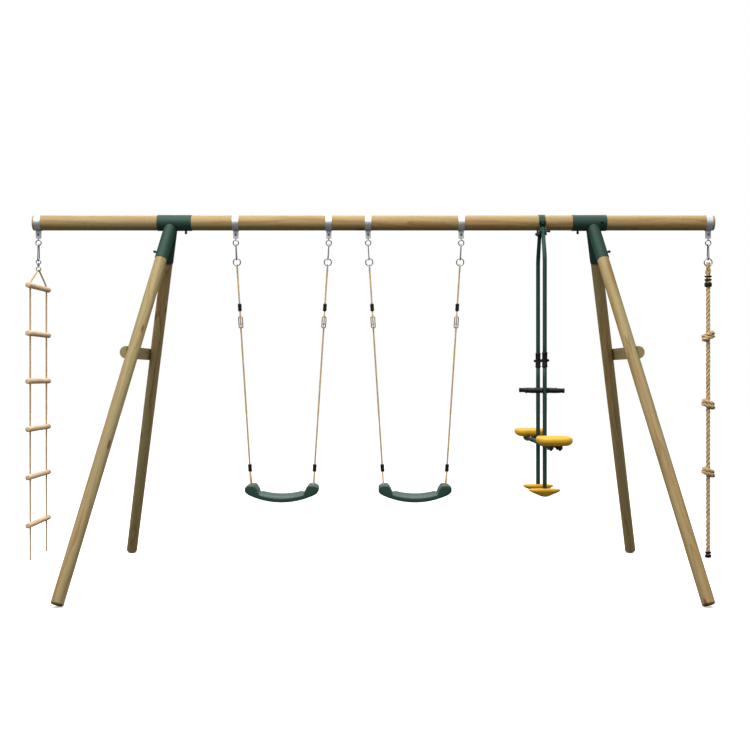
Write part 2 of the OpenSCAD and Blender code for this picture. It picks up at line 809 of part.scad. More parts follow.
module glider_seat(y) {
  r = 22;
  color(yellow) translate([glider_x, y, glider_seat_z]) difference() {
    linear_extrude(glider_seat_t) {
      square([glider_seat_w - 2 * r, glider_seat_d], center = true);
      square([glider_seat_w, glider_seat_d - 2 * r], center = true);
      for (sx = [-1, 1], sy = [-1, 1])
        translate([sx * (glider_seat_w / 2 - r), sy * (glider_seat_d / 2 - r)]) circle(r = r);
    }
    for (sx = [-1, 1], t = [-1, 1]) translate([sx * bar_x, t * seat_bolt_gap / 2, -1]) cylinder(r = 3.2, h = 31);
  }
}

module glider_seat_front() { glider_seat(-glider_seat_y); }
module glider_seat_rear() { glider_seat(glider_seat_y); }

// Bolts up through the bars into the seats, with round heads below
module glider_seat_bolts() {
  color(black) for (m = [-1, 1], s = [-1, 1], t = [-1, 1])
    translate([glider_x + m * bar_x, s * glider_seat_y + t * seat_bolt_gap / 2, glider_seat_z - bar_w]) {
      cylinder(r = 3, h = bar_w + 28);
      translate([0, 0, -9]) cylinder(r = 7.5, h = 9);
    }
}

beam_left_log();
beam_middle_log();
beam_right_log();
beam_spigots();
bracket_left();
bracket_right();
frame_bolts();
frame_bolt_caps();
leg_front_left();
leg_rear_left();
leg_front_right();
leg_rear_right();
crossbar_left();
crossbar_right();
hanger_bands();
hanger_bolts();
swing_eyes();
glider_clamp_upper();
glider_clamp_lower();
glider_clamp_bolts();
glider_pivot_bolts();
swing_left_hooks();
swing_left_rings();
swing_left_ropes();
swing_left_ferrules();
swing_left_adjusters();
swing_left_seat();
swing_right_hooks();
swing_right_rings();
swing_right_ropes();
swing_right_ferrules();
swing_right_adjusters();
swing_right_seat();
ladder_eye();
ladder_hook();
ladder_swivel_upper();
ladder_swivel_lower();
ladder_rope_front();
ladder_rope_rear();
ladder_rungs();
rope_eye();
rope_hook();
rope_ring();
climbing_rope();
rope_bands();
front_arm_tubes();
front_coupler();
front_handlebar();
front_footrest();
front_arm_bolts();
rear_arm_tubes();
rear_coupler();
rear_handlebar();
rear_footrest();
rear_arm_bolts();
glider_seat_bars();
glider_seat_front();
glider_seat_rear();
glider_seat_bolts();
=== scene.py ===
import math

import bpy
import numpy as np
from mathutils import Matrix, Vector


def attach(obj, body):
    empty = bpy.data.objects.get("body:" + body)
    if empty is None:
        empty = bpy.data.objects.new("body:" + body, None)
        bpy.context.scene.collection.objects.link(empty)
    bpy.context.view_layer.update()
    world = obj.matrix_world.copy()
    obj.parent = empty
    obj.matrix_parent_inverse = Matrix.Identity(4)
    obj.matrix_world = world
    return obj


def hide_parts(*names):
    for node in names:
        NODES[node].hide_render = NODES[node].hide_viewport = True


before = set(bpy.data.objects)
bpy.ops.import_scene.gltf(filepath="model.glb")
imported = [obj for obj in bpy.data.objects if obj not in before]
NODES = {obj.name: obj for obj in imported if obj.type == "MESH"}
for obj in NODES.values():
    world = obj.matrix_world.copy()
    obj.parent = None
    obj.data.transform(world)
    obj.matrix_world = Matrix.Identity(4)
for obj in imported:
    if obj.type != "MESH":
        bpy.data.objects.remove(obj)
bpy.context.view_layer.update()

# ---- driving dimensions, in metres, as the CAD has them ----
MM = 0.001
# Frame: how far a leg leans out and to the front or rear for each metre that it falls.
BEAM_Z = 2.120
LEG_OUT, LEG_FORE = 0.2067, 0.4518
LEFT_APEX, RIGHT_APEX = -1.219, 1.301
CROSSBAR_X, CROSSBAR_Z = {"left": -1.43, "right": 1.51}, 1.34
LOG_X = {"left": -1.2, "middle": 0.1, "right": 1.3}
LADDER_X, ROPE_X, GLIDER_X = -2.019, 1.999, 0.998
SWING_X = {"left": -0.556, "right": 0.238}
# Swings: the gap of the two lines at the hooks, and at the seat's rope height.
HOOK_GAP, SEAT_ROPE_GAP = 0.558, 0.374
SWING_AXIS_Z = 1.9846
SEAT_ROPE_Z = 0.545
SWING_LEAN = math.atan((HOOK_GAP - SEAT_ROPE_GAP) / 2 / (SWING_AXIS_Z - SEAT_ROPE_Z))
RING_DROP = 0.1213
FERRULE_TOPS, FERRULE_L = (1.636, 0.673), 0.045
ADJUSTER_Z, SEAT_GRIP_Z = 1.5245, 0.520
SWING_ROPE_D = 0.011
SEAT_ARC, SEAT_Z, SEAT_HALF, SEAT_DEPTH = 0.458, 0.449, 0.217, 0.168
# Climbing rope; a knot's hand is 1 where its left side is the higher, else -1.
CLIMB_D = 0.026
CLIMB_RING_Z, CLIMB_END_Z = 1.8601, 0.1125
KNOT_ZS, KNOT_HANDS = (1.441, 1.034, 0.626), (-1, 1, 1)
# Ladder rungs
RUNG_HALF, RUNG_R, RUNG_TOP_Z, RUNG_STEP, RUNGS = 0.2225, 0.016, 1.733, 0.2806, 6
# Glider: its arm tubes with their heights from the top down, and what is on them.
ARM_Y, ARM_TOP_Y = 0.143, 0.062
ARM_TOP_Z, ARM_BEND_Z, ARM_SEAM_Z, ARM_END_Z = 2.085, 1.905, 1.272, 0.503
TUBE_R, TUBE_END_R, TUBE_BEND_R = 0.0125, 0.0112, 0.150
HANDLE_Z, FOOTREST_Z = 1.116, 0.538
COUPLER_Z, COUPLER_L = 1.253, 0.089
GLIDER_SEAT_Y, GLIDER_SEAT_Z, GLIDER_SEAT_HALF = 0.510, 0.817, (0.095, 0.125)


# ---- mesh helpers ----
def unit(v):
    """The same direction at length one."""
    return v / max(np.linalg.norm(v), 1e-12)


def add_mesh(name, verts, faces, material):
    """A smooth-shaded object of one material, placed by its mesh."""
    mesh = bpy.data.meshes.new(name)
    mesh.from_pydata([tuple(map(float, v)) for v in verts], [], faces)
    mesh.polygons.foreach_set("use_smooth", [True] * len(mesh.polygons))
    mesh.validate()
    mesh.update()
    obj = bpy.data.objects.new(name, mesh)
    bpy.context.scene.collection.objects.link(obj)
    obj.data.materials.append(material)
    return obj


def ring_faces(rings, sides, first=0):
    """Quads between rings of points that follow each other, and a fan over each end."""
    faces = []
    for i in range(rings - 1):
        for k in range(sides):
            a, b = first + i * sides + k, first + i * sides + (k + 1) % sides
            faces.append((a, b, b + sides, a + sides))
    faces.append(tuple(first + k for k in reversed(range(sides))))
    faces.append(tuple(first + (rings - 1) * sides + k for k in range(sides)))
    return faces


def across(axis):
    """A direction at right angles to an axis: near X, or near Y where the axis itself lies near X."""
    start = np.array([1.0, 0, 0]) if abs(axis[0]) < 0.9 else np.array([0, 1.0, 0])
    return unit(np.cross(np.cross(axis, start), axis))


def turn_angles(count):
    """Evenly spaced angles of one whole turn."""
    return np.arange(count) * 2 * math.pi / count


def distances(points):
    """How far along its line each point is."""
    return np.concatenate([[0], np.cumsum(np.linalg.norm(np.diff(points, axis=0), axis=1))])


def carry(points):
    """Directions along a line, and two sideways vectors that don't twist round it."""
    d = np.gradient(points, axis=0)
    d /= np.linalg.norm(d, axis=1)[:, None]
    u = [across(d[0])]
    for i in range(1, len(points)):
        u.append(unit(u[-1] - d[i] * np.dot(u[-1], d[i])))
    u = np.array(u)
    return d, u, np.cross(d, u)


def resample(points, step):
    """The same line with its points about a step apart."""
    points = np.array(points, float)
    along = distances(points)
    at = np.linspace(0, along[-1], max(2, int(along[-1] / step) + 1))
    return np.stack([np.interp(at, along, points[:, k]) for k in range(3)], axis=1)


def rounded(points, step, passes=2):
    """A line through the points with its corners cut and then spaced evenly."""
    p = np.array(points, float)
    for _ in range(passes):
        a, b = 0.75 * p[:-1] + 0.25 * p[1:], 0.25 * p[:-1] + 0.75 * p[1:]
        p = np.concatenate([[p[0]], np.stack([a, b], axis=1).reshape(-1, 3), [p[-1]]])
    return resample(p, step)


def sweep(points, radius, sides):
    """Points and faces of a tube; radius is one number or one for each point."""
    d, u, v = carry(points)
    radius = np.broadcast_to(radius, len(points))
    w = turn_angles(sides)
    outward = np.cos(w)[None, :, None] * u[:, None] + np.sin(w)[None, :, None] * v[:, None]
    rings = points[:, None] + radius[:, None, None] * outward
    return rings.reshape(-1, 3), ring_faces(len(points), sides)


def tube(name, points, radius, material, sides):
    """A tube or bar along a line."""
    verts, faces = sweep(np.array(points, float), radius, sides)
    return add_mesh(name, verts, faces, material)


def laid_rope(name, points, diameter, lay, sides=8):
    """A rope of three twisted strands along a line; lay is the length of one turn in diameters."""
    strands, points_per_turn, end_taper = 3, 12, 0.75
    strand_r = diameter * 0.245
    out = diameter / 2 - strand_r
    pitch = lay * diameter
    line = resample(points, pitch / points_per_turn)
    along = distances(line)
    _, u, v = carry(line)
    thick = np.full(len(line), strand_r)
    thick[0] = thick[-1] = strand_r * end_taper
    verts, faces = [], []
    for s in range(strands):
        w = 2 * math.pi * (along / pitch + s / strands)
        centre = line + out * (np.cos(w)[:, None] * u + np.sin(w)[:, None] * v)
        strand_verts, strand_faces = sweep(centre, thick, sides)
        first = len(verts) * len(strand_verts)
        faces += [tuple(i + first for i in f) for f in strand_faces]
        verts.append(strand_verts)
    return add_mesh(name, np.concatenate(verts), faces, ROPE)


def stack(name, loops, material):
    """A closed shell from loops of the same number of points."""
    return add_mesh(name, np.concatenate(loops), ring_faces(len(loops), len(loops[0])), material)


def turned(name, profile, material, centre, axis=(0, 0, 1), sides=32):
    """A solid of revolution; profile is a list of (radius, distance along the axis)."""
    axis = unit(np.array(axis, float))
    u = across(axis)
    w = turn_angles(sides)
    outward = np.cos(w)[:, None] * u + np.sin(w)[:, None] * np.cross(axis, u)
    return stack(name, [np.array(centre) + h * axis + r * outward for r, h in profile], material)


def signed_power(x, p):
    """A power that keeps its number's sign: it squares up a circle's cosine and sine."""
    return np.sign(x) * np.abs(x) ** p


# ---- material helpers ----
NONE, FULL = (0, 0, 0), (1, 1, 1)


class Shader:
    """A short way to add nodes to one material."""

    def __init__(self, name):
        self.material = bpy.data.materials.new(name)
        self.material.use_nodes = True
        self.tree = self.material.node_tree
        self.bsdf = self.tree.nodes["Principled BSDF"]

    def add(self, kind, values=(), **props):
        n = self.tree.nodes.new("ShaderNode" + kind)
        for key, value in props.items():
            setattr(n, key, value)
        for socket, value in dict(values).items():
            self.put(value, n.inputs[socket])
        return n

    def put(self, value, socket):
        if isinstance(value, bpy.types.NodeSocket):
            self.tree.links.new(value, socket)
        else:
            socket.default_value = value

    def math(self, operation, a, b=0.0, c=0.0):
        return self.add("Math", {0: a, 1: b, 2: c}, operation=operation).outputs[0]

    def mix(self, factor, a, b, blend="MIX"):
        n = self.add("Mix", data_type="RGBA", blend_type=blend)
        self.put(factor, n.inputs["Factor"])
        self.put(a, n.inputs["A"])
        self.put(b, n.inputs["B"])
        return n.outputs["Result"]

    def ramp(self, value, stops):
        n = self.add("ValToRGB", {0: value})
        elements = n.color_ramp.elements
        while len(elements) < len(stops):
            elements.new(0.5)
        for e, (at, colour) in zip(elements, stops):
            e.position = at
            e.color = colour if len(colour) == 4 else (*colour, 1)
        return n.outputs["Color"]

    def place(self):
        return self.add("TexCoord").outputs["Object"]

    def scaled(self, vector, scale, move=(0, 0, 0)):
        return self.add("Mapping", {"Vector": vector, "Scale": scale, "Location": move}).outputs[0]

    def noise(self, vector, scale, detail=3.0, rough=0.5):
        return self.add("TexNoise", {"Vector": vector, "Scale": scale, "Detail": detail,
                                     "Roughness": rough}).outputs["Fac"]

    def bump(self, height, strength, distance):
        return self.add("Bump", {"Height": height, "Strength": strength, "Distance": distance}).outputs[0]

    def finish(self, colour, roughness, normal, metallic=0.0, specular=0.5):
        self.put(colour, self.bsdf.inputs["Base Color"])
        self.put(roughness, self.bsdf.inputs["Roughness"])
        self.bsdf.inputs["Metallic"].default_value = metallic
        self.bsdf.inputs["Specular IOR Level"].default_value = specular
        self.put(normal, self.bsdf.inputs["Normal"])
        return self.material


def log_wood(name, centre, along, seed, warm, knots=1.0, wander=0.055):
    """Turned, pressure-treated pine: its rings lie round a pith that wanders along the log.
    warm turns it from green to honey, knots scales them, and wander is the pith's, in metres."""
    rings_per_m, pith_y, pith_z = 118.0, 0.011, -0.007
    olive, orange_pine, halo_brown, knot_brown = ((0.290, 0.265, 0.120, 1), (0.430, 0.230, 0.085, 1),
                                                  (0.36, 0.19, 0.07, 1), (0.10, 0.05, 0.022, 1))
    along = unit(np.array(along, float))
    up = np.array([0, 0, 1.0]) if abs(along[2]) < 0.9 else np.array([0, 1.0, 0])
    u = unit(np.cross(up, along))
    v = np.cross(along, u)
    s = Shader(name)
    back = tuple(-np.array(centre, float))
    moved = s.add("VectorMath", {0: s.place(), 1: back}, operation="ADD").outputs[0]
    dots = [s.add("VectorMath", {0: moved, 1: tuple(d)}, operation="DOT_PRODUCT").outputs["Value"]
            for d in (along, u, v)]
    shifted = s.math("ADD", dots[0], 3.7 * seed)
    log = s.add("CombineXYZ", {0: shifted, 1: dots[1], 2: dots[2]}).outputs[0]
    slow_a = s.noise(s.scaled(log, (0.9, 2.0, 2.0), (seed, 0, 5)), 1.0, 2.0)
    slow_b = s.noise(s.scaled(log, (1.1, 2.0, 2.0), (0, seed, 9)), 1.0, 2.0)
    ripple = s.noise(s.scaled(log, (2.2, 30, 30), (seed, 2, 0)), 1.0, 3.0)
    px = s.math("MULTIPLY_ADD", s.math("SUBTRACT", slow_a, 0.5), wander, s.math("ADD", dots[1], pith_y))
    py = s.math("MULTIPLY_ADD", s.math("SUBTRACT", slow_b, 0.5), wander, s.math("ADD", dots[2], pith_z))
    radius = s.math("SQRT", s.math("ADD", s.math("MULTIPLY", px, px), s.math("MULTIPLY", py, py)))
    ring = s.math("FRACT", s.math("MULTIPLY_ADD", radius, rings_per_m, s.math("MULTIPLY", ripple, 1.5)))
    pale = (0.385 - 0.03 * warm, 0.295 - 0.055 * warm, 0.128 - 0.04 * warm)
    tan = (0.320, 0.225 - 0.04 * warm, 0.090 - 0.03 * warm)
    brown = (0.250 + 0.05 * warm, 0.145, 0.054)
    colour = s.ramp(ring, [(0.0, pale), (0.45, pale), (0.80, tan), (0.95, brown), (1.0, tan)])
    patch = s.noise(s.scaled(log, (1.4, 16, 16), (seed, 7, 3)), 1.0, 3.0)
    green = s.ramp(patch, [(0.42, NONE), (0.62, FULL)])
    colour = s.mix(s.math("MULTIPLY", green, 0.45), colour, olive)
    streak = s.noise(s.scaled(log, (1.0, 34, 34), (3, seed, 1)), 1.0, 2.0)
    orange = s.ramp(streak, [(0.52, NONE), (0.66, FULL)])
    colour = s.mix(s.math("MULTIPLY", orange, 0.55), colour, orange_pine)
    fibre = s.noise(s.scaled(log, (14, 520, 520)), 1.0, 4.0, 0.6)
    colour = s.mix(0.55, colour, s.ramp(fibre, [(0.3, (0.55, 0.52, 0.48)), (0.62, FULL)]), "MULTIPLY")
    spread = s.scaled(log, (4.2, 15, 15), (seed * 2.3, 1, 4))
    spots = s.add("TexVoronoi", {"Vector": spread, "Scale": 1.0}).outputs["Distance"]
    knot = s.ramp(spots, [(0.10 * knots, FULL), (0.17 * knots, NONE)])
    halo = s.ramp(spots, [(0.12 * knots, FULL), (0.30 * knots, NONE)])
    colour = s.mix(s.math("MULTIPLY", halo, 0.5), colour, halo_brown)
    colour = s.mix(s.math("MULTIPLY", knot, 0.85), colour, knot_brown)
    height = s.math("ADD", s.math("MULTIPLY", ring, 0.4), fibre)
    rough = s.math("MULTIPLY_ADD", fibre, 0.25, 0.48)
    return s.finish(colour, rough, s.bump(height, 0.35, 0.0006), specular=0.35)


def turned_wood(name):
    """Pale, close-grained rungs whose grain runs from front to rear."""
    s = Shader(name)
    place = s.place()
    grain = s.noise(s.scaled(place, (90, 5, 90)), 1.0, 3.0)
    dark, middle, pale = (0.60, 0.40, 0.23), (0.70, 0.48, 0.29), (0.78, 0.57, 0.37)
    colour = s.ramp(grain, [(0.35, dark), (0.5, middle), (0.68, pale)])
    flecks = s.noise(s.scaled(place, (420, 40, 420)), 1.0, 3.0)
    colour = s.mix(0.4, colour, s.ramp(flecks, [(0.35, (0.7, 0.64, 0.6)), (0.6, FULL)]), "MULTIPLY")
    rough = s.math("MULTIPLY_ADD", grain, 0.2, 0.42)
    return s.finish(colour, rough, s.bump(flecks, 0.25, 0.0004), specular=0.4)


def powder_coat(name, base):
    """Satin powder coat with the skin of an orange."""
    s = Shader(name)
    place = s.place()
    peel = s.noise(place, 700.0, 2.0)
    cloud = s.noise(place, 9.0, 4.0)
    colour = s.mix(cloud, (*(c * 0.78 for c in base), 1), (*(c * 1.18 for c in base), 1))
    rough = s.math("MULTIPLY_ADD", cloud, 0.14, 0.56)
    return s.finish(colour, rough, s.bump(peel, 0.12, 0.0003), specular=0.35)


def moulded_plastic(name, base, grain, rough):
    """Moulded plastic: a fine leathery grain and slight scuffing."""
    s = Shader(name)
    place = s.place()
    skin = s.noise(place, grain, 3.0, 0.6)
    cloud = s.noise(place, 14.0, 4.0)
    colour = s.mix(cloud, (*(c * 0.86 for c in base), 1), (*(min(1, c * 1.12) for c in base), 1))
    scuff = s.noise(s.scaled(place, (60, 8, 60)), 1.0, 5.0, 0.7)
    return s.finish(colour, s.math("MULTIPLY_ADD", scuff, 0.22, rough - 0.08), s.bump(skin, 0.28, 0.0004))


def galvanised(name, tone, rough):
    """Zinc-plated steel with faint spangle and a dull film; tone is how bright it is."""
    s = Shader(name)
    place = s.place()
    spangle = s.add("TexVoronoi", {"Vector": place, "Scale": 260.0}).outputs["Color"]
    grey = s.add("RGBToBW", {0: spangle}).outputs[0]
    dark, light = (0.58 * tone, 0.59 * tone, 0.61 * tone), (0.68 * tone, 0.69 * tone, 0.71 * tone)
    colour = s.ramp(grey, [(0.2, dark), (0.8, light)])
    film = s.noise(place, 40.0, 4.0)
    dulled = s.math("MULTIPLY_ADD", film, 0.16, rough)
    return s.finish(colour, dulled, s.bump(film, 0.05, 0.0003), metallic=1.0)


def black_rubber(name):
    """Black rubber or soft plastic with a fine skin and a faint bloom."""
    s = Shader(name)
    place = s.place()
    skin = s.noise(place, 1100.0, 2.0)
    cloud = s.noise(place, 30.0, 3.0)
    colour = s.ramp(cloud, [(0.3, (0.002, 0.002, 0.002)), (0.7, (0.006, 0.006, 0.006))])
    rough = s.math("MULTIPLY_ADD", cloud, 0.2, 0.42)
    return s.finish(colour, rough, s.bump(skin, 0.12, 0.0002), specular=0.25)


def hemp(name):
    """Rope yarn: fine fibres that cross the strand, darker between them."""
    s = Shader(name)
    place = s.place()
    yarn = s.noise(s.scaled(place, (1, 1, 0.45)), 1500.0, 3.0, 0.65)
    tone = s.noise(place, 22.0, 3.0)
    colour = s.ramp(tone, [(0.3, (0.55, 0.37, 0.18)), (0.7, (0.70, 0.51, 0.28))])
    colour = s.mix(0.6, colour, s.ramp(yarn, [(0.32, (0.55, 0.50, 0.42)), (0.6, FULL)]), "MULTIPLY")
    return s.finish(colour, 0.82, s.bump(yarn, 0.5, 0.0006), specular=0.2)


ROPE = hemp("rope")
ZINC = galvanised("plated_wire", 0.55, 0.14)
BAND_ZINC = galvanised("plated_band", 0.95, 0.46)
BOLT_ZINC = galvanised("plated_bolt", 0.34, 0.22)
BLACK = black_rubber("black_rubber")
GREEN_STEEL = powder_coat("green_powder_coat", (0.0075, 0.044, 0.027))
GREEN_PLASTIC = moulded_plastic("green_seat_plastic", (0.011, 0.052, 0.035), 900.0, 0.40)
YELLOW = moulded_plastic("yellow_plastic", (0.72, 0.385, 0.006), 420.0, 0.46)
BEECH = turned_wood("rung_wood")


# ---- camera: level, square to the beam and somewhat above the middle of the set's height ----
CAMERA_Y, CAMERA_Z, LENS_MM, SENSOR_MM = -7.128, 1.208, 57.02, 36


def add_camera():
    data = bpy.data.cameras.new("camera")
    data.sensor_width = SENSOR_MM
    data.lens = LENS_MM
    camera = bpy.data.objects.new("camera", data)
    camera.location = (0, CAMERA_Y, CAMERA_Z)
    camera.rotation_euler = (math.radians(90), 0, 0)
    bpy.context.scene.collection.objects.link(camera)
    bpy.context.scene.camera = camera


add_camera()


# ---- ropes ----
def line_at(x, side, z):
    """A point on a swing's line at a height; side is -1 or 1."""
    reach = HOOK_GAP / 2 - math.tan(SWING_LEAN) * (SWING_AXIS_Z - z)
    return np.array([x + side * reach, 0, z])


def put(piece, body, slot, *nodes):
    """Rides on a body and stands for CAD nodes, which it hides; slot is not used."""
    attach(piece, body)
    if nodes:
        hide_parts(*nodes)
    return piece


# Route of a ladder rope from the swivel's ring across and down: distance from the middle, and height, in mm.
LADDER_ROUTE = ((2, 1838.5), (10, 1837), (20, 1832), (32, 1825), (60, 1810), (90, 1794), (120, 1778),
                (142, 1766), (154, 1758), (163, 1748), (169, 1735), (171, 1720), (171, 1450), (171, 1200),
                (171, 900), (171, 600), (171, 350), (171, 124))
LADDER_BEND_POINTS = 12

# How far apart the points of a line are, in metres, and the length of a rope's turn, in diameters.
BEND_STEP, STRAIGHT_STEP, SWING_STEP, LOOP_STEP = 0.004, 0.02, 0.01, 0.003
ROPE_LAY, LOOP_LAY, CLIMB_LAY = 3.4, 3.2, 3.2
CLIMB_SIDES = 10


def ladder_rope(side, node):
    """One ladder rope, from the middle under the swivel's ring to its cut end below the last rung."""
    route = np.array([(LADDER_X, side * a * MM, z * MM) for a, z in LADDER_ROUTE])
    bent = resample(route[:LADDER_BEND_POINTS], BEND_STEP)
    hanging = resample(route[LADDER_BEND_POINTS - 1:], STRAIGHT_STEP)
    route = np.concatenate([bent, hanging[1:]])
    piece = laid_rope(node + "_laid", route, SWING_ROPE_D, ROPE_LAY)
    put(piece, "ladder", "rope", node)


ladder_rope(-1, "ladder_rope_front")
ladder_rope(1, "ladder_rope_rear")


def bight(half, crown):
    """A loop's points: up its front side, over its crown and down its rear side."""
    return [*half, crown, *(p * (1, -1, 1) for p in reversed(half))]


def rope_loop(name, body, points, diameter):
    """A piece of rope laid along a tightly bent line with its corners rounded off. A
    piece of rope that bends tighter than a cord may.
    """
    return put(laid_rope(name, rounded(points, LOOP_STEP), diameter, LOOP_LAY), body, "rope")


def ferrule(name, body, x, side, top):
    """Black ferrule round a swing's line, waisted in the middle; top is its upper end's height."""
    bore, lip, shoulder, belly, waist = 0.0058, 0.0085, 0.0106, 0.0115, 0.0108
    down = unit(np.array([-side * math.sin(SWING_LEAN), 0, -math.cos(SWING_LEAN)]))
    profile = [(bore, 0), (lip, 0), (shoulder, 0.0020), (belly, 0.0060), (belly, 0.0130), (waist, 0.0200),
               (waist, 0.0250), (belly, 0.0320), (belly, 0.0390), (shoulder, 0.0430), (lip, FERRULE_L),
               (bore, FERRULE_L)]
    piece = turned(name, profile, BLACK, line_at(x, side, top), down)
    return put(piece, body, "black_rubber", body + "_ferrules")


def swing_rope(name, body, ends):
    """A taut run of a swing's rope."""
    line = resample(ends, SWING_STEP)
    piece = laid_rope(name, line, SWING_ROPE_D, ROPE_LAY)
    put(piece, body, "rope", body + "_ropes")


def upper_line(body, x, side, hand):
    """From the ring to the adjuster: the rope, its eye, its ferrule, and its end round the bar."""
    ring_z = SWING_AXIS_Z - RING_DROP * math.cos(SWING_LEAN)
    top, crown = line_at(x, side, ring_z - 0.0095), line_at(x, side, ring_z)
    half = [top + (0, -0.003, -0.030), crown + (0, -0.0085, -0.010), crown + (0, -0.0088, 0.003)]
    eye = rope_loop(f"{body}_ring_loop_{hand}", body, bight(half, crown + (0, 0, 0.0095)), 0.0085)
    collar = ferrule(f"{body}_ferrule_upper_{hand}", body, x, side, FERRULE_TOPS[0])
    cross = line_at(x, side, ADJUSTER_Z - 0.010)
    bar_line = [cross + (k * 0.0055, 0, 0) for k in (-2, -1, 0, 1, 2)]
    put(tube(f"{body}_adjuster_bar_{hand}", bar_line, 0.0028, ZINC, 16), body, "zinc")
    inlet = line_at(x, side, ADJUSTER_Z + 0.0385)
    join = line_at(x, side, FERRULE_TOPS[0] - FERRULE_L + 0.004)
    half = [inlet + (0, -0.0085, 0.004), inlet + (0, -0.0080, -0.012), cross + (0, -0.0078, 0.002)]
    slip = [join, *bight(half, cross + (0, 0, -0.0100)), join + (0, 0.001, 0)]
    slip_loop = rope_loop(f"{body}_adjuster_loop_{hand}", body, slip, 0.0088)
    end = line_at(x, side, FERRULE_TOPS[0] - FERRULE_L - 0.004)
    swing_rope(f"{body}_rope_upper_{hand}", body, [top, end])


def bridle_strand(body, x, side, hand, way, part):
    """One of the two strands that spread from the lower ferrule to the seat's edges."""
    fork = line_at(x, side, FERRULE_TOPS[1] - FERRULE_L + 0.008)
    line = [fork + (0, way * 0.003, 0), fork + (0, way * 0.007, -0.012),
            line_at(x, side, SEAT_GRIP_Z + 0.040) + (0, way * 0.035, 0),
            line_at(x, side, SEAT_GRIP_Z) + (0, way * 0.043, 0)]
    strand = laid_rope(f"{body}_strand_{part}_{hand}", rounded(line, LOOP_STEP, 1), 0.0100, ROPE_LAY)
    return put(strand, body, "rope")


def lower_line(body, x, side, hand):
    """From the adjuster to the seat: the rope, its hitch, its ferrule and the bridle's strands."""
    collar = ferrule(f"{body}_ferrule_lower_{hand}", body, x, side, FERRULE_TOPS[1])
    strands = [bridle_strand(body, x, side, hand, way, part) for way, part in ((-1, "front"), (1, "rear"))]
    start = line_at(x, side, ADJUSTER_Z - 0.0255)
    half = [start + (0, -0.003, -0.030), start + (0, -0.008, -0.010), start + (0, -0.0085, 0.002)]
    hitch = rope_loop(f"{body}_hitch_{hand}", body, bight(half, start + (0, 0, 0.0085)), 0.0085)
    fork = line_at(x, side, FERRULE_TOPS[1] - FERRULE_L + 0.008)
    swing_rope(f"{body}_rope_lower_{hand}", body, [start + (0, 0, -0.013), fork])


for word, x in SWING_X.items():
    for side, hand in ((-1, "a"), (1, "b")):
        upper_line("swing_" + word, x, side, hand)
        lower_line("swing_" + word, x, side, hand)


# Black bands on the climbing rope: lower edge, height and radius of each.
BANDS = ((1.794, 0.010, 0.0218), (1.774, 0.010, 0.0218), (1.737, 0.026, 0.022), (0.136, 0.014, 0.0182),
         (0.112, 0.019, 0.0190))


def knot(index, z, hand):
    """An overhand knot drawn tight: two turns round the rope, the upper one pushed to one side
    and the lower one to the other. hand is 1 where the left side is the higher, else -1."""
    wide, deep, high, off_centre, tilt = 0.0345, 0.0262, 0.0185, 0.0095, 0.20
    w = np.linspace(0, 1, 72)
    angle = math.radians(150) + w * math.radians(620)
    swell = np.sin(math.pi * w) ** 0.4
    x = wide * swell * np.cos(angle) - off_centre * np.cos(math.pi * w)
    y = deep * swell * np.sin(angle)
    line = np.stack([ROPE_X + hand * x, y, z + high * (1 - 2 * w) - tilt * x], axis=1)
    name = f"climbing_knot_{index}"
    return laid_rope(name, resample(line, BEND_STEP), CLIMB_D * 0.98, lay=3.0, sides=CLIMB_SIDES)


def splice_strand(way, part):
    """One strand of the eye, from over the ring down round the other strand."""
    low = np.array([ROPE_X, 0, CLIMB_RING_Z])
    offsets = ((-0.0060, 0, 0.018), (0.0040, 0.011, 0.014), (0.0085, 0.014, -0.006), (-0.0080, 0.010, -0.030),
               (0.0085, 0.008, -0.058), (-0.0080, 0.007, -0.086), (0.0060, 0.004, -0.120))
    leg = [low + (way * x, way * y, z) for x, y, z in offsets]
    return laid_rope("climbing_splice_" + part, rounded(leg, BEND_STEP), 0.0225, lay=2.6, sides=CLIMB_SIDES)


def rope_band(index, z, height, r):
    """Rubber band with eased edges round the climbing rope."""
    inner = 0.012
    soft = min(0.004, height * 0.4)
    profile = [(inner, 0), (r - soft, 0), (r - soft * 0.3, soft * 0.3), (r, soft), (r, height - soft),
               (r - soft * 0.3, height - soft * 0.3), (r - soft, height), (inner, height)]
    return turned(f"climbing_band_{index}", profile, BLACK, (ROPE_X, 0, z))


def climbing_rope():
    """The straight run of the rope, with its splice, knots and bands as pieces on it."""
    body = "climbing_rope"
    line = resample([(ROPE_X, 0, CLIMB_RING_Z - 0.016), (ROPE_X, 0, CLIMB_END_Z)], STRAIGHT_STEP)
    piece = laid_rope("climbing_rope_laid", line, CLIMB_D, CLIMB_LAY, CLIMB_SIDES)
    put(piece, body, "rope", "climbing_rope")
    on_it = [put(splice_strand(way, part), body, "rope") for way, part in ((-1, "a"), (1, "b"))]
    on_it += [put(knot(i, z, hand), body, "rope") for i, (z, hand) in enumerate(zip(KNOT_ZS, KNOT_HANDS))]
    on_it += [put(rope_band(i, *band), body, "black_rubber", "rope_bands") for i, band in enumerate(BANDS)]


climbing_rope()


